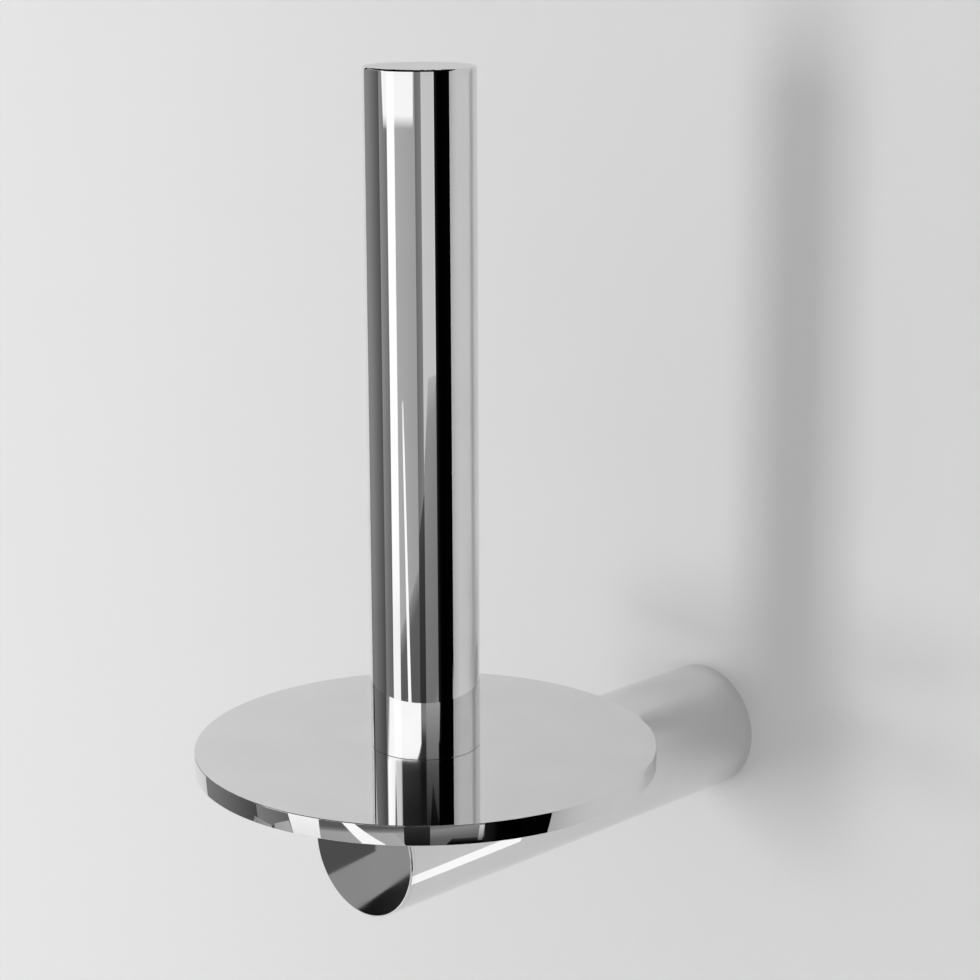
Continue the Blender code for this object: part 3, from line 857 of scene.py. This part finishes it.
def drill(target, name, radius, place, high):
    """Cuts a round hole through the tube's upper side where high is 1, or its lower side where it is -1.

    The rod that cuts it is turned by half a step. Then none of its corners lies on a line of the tube's
    mesh, which would leave triangles without an area.
    """
    shape = bmesh.new()
    half_step = Matrix.Rotation(math.pi / DRILL_STEPS, 4, "Z")
    middle = Matrix.Translation((0, -place, high * ARM_RADIUS))
    bmesh.ops.create_cone(shape, cap_ends=True, segments=DRILL_STEPS, radius1=radius, radius2=radius,
                          depth=2 * ARM_RADIUS, matrix=middle @ half_step)
    data = bpy.data.meshes.new(name)
    shape.to_mesh(data)
    shape.free()
    rod = bpy.data.objects.new(name, data)
    scene.collection.objects.link(rod)
    cut = target.modifiers.new(name, "BOOLEAN")
    cut.operation = "DIFFERENCE"
    cut.solver = "EXACT"
    cut.object = rod
    drilled = bpy.data.meshes.new_from_object(target.evaluated_get(bpy.context.evaluated_depsgraph_get()))
    target.modifiers.clear()
    bpy.data.objects.remove(rod)
    return drilled


screw_rings = rings_near(screw_place, screw_hole)
bush_rings = rings_near(bush_place, bush_hole)
arm_outline = [(arm_bore, tube_end), (arm_bore, 0)]
arm_outline += [(ARM_RADIUS, height) for height in (0, *screw_rings, *bush_rings, tube_end)]
arm_shape = turned(arm_outline)
arm_tube = finish_piece("arm_tube_polished", arm_shape, chrome, ["arm_tube"], ALONG_ARM)
arm_tube.data = drill(arm_tube, "bush_drill", bush_hole, bush_place, 1)
arm_tube.data = drill(arm_tube, "screw_drill", screw_hole, screw_place, -1)
arm_tube.data.set_sharp_from_angle(angle=CREASE)
front_shape = cap_shape(arm_joint, ARM_FRONT, ARM_RADIUS, arm_bore, ARM_SPIGOT, ARM_CAP_EDGE)
finish_piece("arm_end_cap_polished", front_shape, chrome, ["arm_end_cap"], ALONG_ARM)

# %% [markdown]
# ## The pieces inside
#
# The fixings are hidden once the holder is up, but anyone who turns the part round sees them in the arm's
# open end. Their shapes come from the engineering model as they are. That mesh is loose flat triangles, so a
# copy of each is merged and shaded smooth, with its creases kept, and takes the place of the node.

# %% Smooth copies of engineering pieces
def smooth_copy(node, material):
    """A merged, smooth-shaded copy of a node that stands for it."""
    shape = bmesh.new()
    shape.from_mesh(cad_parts[node].data)
    bmesh.ops.remove_doubles(shape, verts=shape.verts, dist=DOUBLES)
    for face in shape.faces:
        face.smooth = True
    return finish_piece(node + "_finished", shape, material, [node])


# %% [markdown]
# The two bushes are brass, turned on a lathe and never plated, because nobody sees them. A lathe tool leaves
# rings about a fifth of a millimetre apart. On a round side they lie at equal steps along the axis and on an
# end face at equal steps of radius, so the pattern adds the two. Bare brass dulls in soft brown patches.

# %% Turned brass
TOOL_RINGS = 0.2 * MM
TOOL_MARK = 0.01 * MM
TARNISH_PATCHES = 4 * MM


def turned_brass(name, axis_place):
    """Turned brass: warm yellow metal with fine tool rings and brownish patches of tarnish."""
    made, tree = new_material(name)
    place = add(tree, "ShaderNodeTexCoord")
    centred = add(tree, "ShaderNodeMapping", values={"Location": tuple(-value for value in axis_place)},
                  links={"Vector": place.outputs["Object"]})
    split = add(tree, "ShaderNodeSeparateXYZ", links={"Vector": centred.outputs[0]})
    flat = add(tree, "ShaderNodeCombineXYZ", links={"X": split.outputs["X"], "Y": split.outputs["Y"]})
    radius = add(tree, "ShaderNodeVectorMath", {"operation": "LENGTH"}, links={"Vector": flat.outputs[0]})
    along = add(tree, "ShaderNodeMath", {"operation": "ADD"})
    tree.links.new(radius.outputs["Value"], along.inputs[0])
    tree.links.new(split.outputs["Z"], along.inputs[1])
    phase = add(tree, "ShaderNodeMath", {"operation": "MULTIPLY"})
    phase.inputs[1].default_value = math.tau / TOOL_RINGS
    tree.links.new(along.outputs[0], phase.inputs[0])
    rings = add(tree, "ShaderNodeMath", {"operation": "SINE"})
    tree.links.new(phase.outputs[0], rings.inputs[0])
    tarnish = add(tree, "ShaderNodeTexNoise", values={"Scale": 1 / TARNISH_PATCHES, "Detail": 4.0},
                  links={"Vector": place.outputs["Object"]})
    colour = colour_steps(tree, tarnish.outputs[0], [(0.35, "#D2AF68"), (0.6, "#C29B58"), (0.75, "#A88250")])
    softness = add(tree, "ShaderNodeMapRange", values={"To Min": 0.22, "To Max": 0.42},
                   links={"Value": tarnish.outputs[0]})
    relief = add(tree, "ShaderNodeBump", values={"Strength": 0.5, "Distance": TOOL_MARK},
                 links={"Height": rings.outputs[0]})
    shader = add(tree, "ShaderNodeBsdfPrincipled", values={"Metallic": 1.0},
                 links={"Base Color": colour.outputs["Color"], "Roughness": softness.outputs[0],
                        "Normal": relief.outputs[0]})
    add(tree, "ShaderNodeOutputMaterial", links={"Surface": shader.outputs[0]})
    return made


brass = turned_brass("brass_turned_bare", POST_AXIS)
for node in ("seat_bush", "post_foot_bush"):
    smooth_copy(node, brass)

# %% [markdown]
# The bracket, the stud, its lock washer and the wall screws are steel with bright zinc plate. Zinc grows in
# crystals, so its grey is cloudy: patches about a millimetre across differ a little in tone and gloss, and a
# clear passivation gives some of them a bluish cast. The set screw is steel blackened in hot salts, which
# leaves a dark, slightly oily satin surface with a grain of about a third of a millimetre. The wall plugs
# are injection-moulded nylon: mid grey, satin, with a mould's faint orange peel, half a millimetre across.

# %% Zinc plate, black oxide and nylon
def cloudy_finish(name, grain, tones, gloss, height, metallic):
    """A finish whose tone, gloss and relief all follow one noise of a real grain size.

    The gloss is the roughness at the noise's low end and at its high end.
    """
    made, tree = new_material(name)
    place = add(tree, "ShaderNodeTexCoord")
    clouds = add(tree, "ShaderNodeTexNoise", values={"Scale": 1 / grain, "Detail": 3.0, "Roughness": 0.6},
                 links={"Vector": place.outputs["Object"]})
    colour = colour_steps(tree, clouds.outputs[0], tones)
    softness = add(tree, "ShaderNodeMapRange",
                   values={**NOISE_RANGE, "To Min": gloss[0], "To Max": gloss[1]},
                   links={"Value": clouds.outputs[0]})
    relief = add(tree, "ShaderNodeBump", values={"Strength": 0.4, "Distance": height},
                 links={"Height": clouds.outputs[0]})
    shader = add(tree, "ShaderNodeBsdfPrincipled", values={"Metallic": metallic},
                 links={"Base Color": colour.outputs["Color"], "Roughness": softness.outputs[0],
                        "Normal": relief.outputs[0]})
    add(tree, "ShaderNodeOutputMaterial", links={"Surface": shader.outputs[0]})
    return made


zinc = cloudy_finish("zinc_plate_clear_passivated", grain=1.0 * MM,
                     tones=[(0.3, "#AFB4BB"), (0.5, "#BDC0C3"), (0.7, "#C8C8C6")],
                     gloss=(0.22, 0.38), height=0.01 * MM, metallic=1.0)
black_oxide = cloudy_finish("black_oxide_steel", grain=0.35 * MM,
                            tones=[(0.3, "#1E1F21"), (0.7, "#323335")],
                            gloss=(0.35, 0.5), height=0.01 * MM, metallic=1.0)
nylon = cloudy_finish("nylon_moulded_grey", grain=0.5 * MM,
                      tones=[(0.3, "#9A9CA0"), (0.7, "#A3A5A8")],
                      gloss=(0.42, 0.55), height=0.02 * MM, metallic=0.0)
for node in ("wall_bracket", "post_stud", "lock_washer", "wall_screw_upper", "wall_screw_lower"):
    smooth_copy(node, zinc)
smooth_copy("arm_set_screw", black_oxide)
for node in ("wall_plug_upper", "wall_plug_lower"):
    smooth_copy(node, nylon)
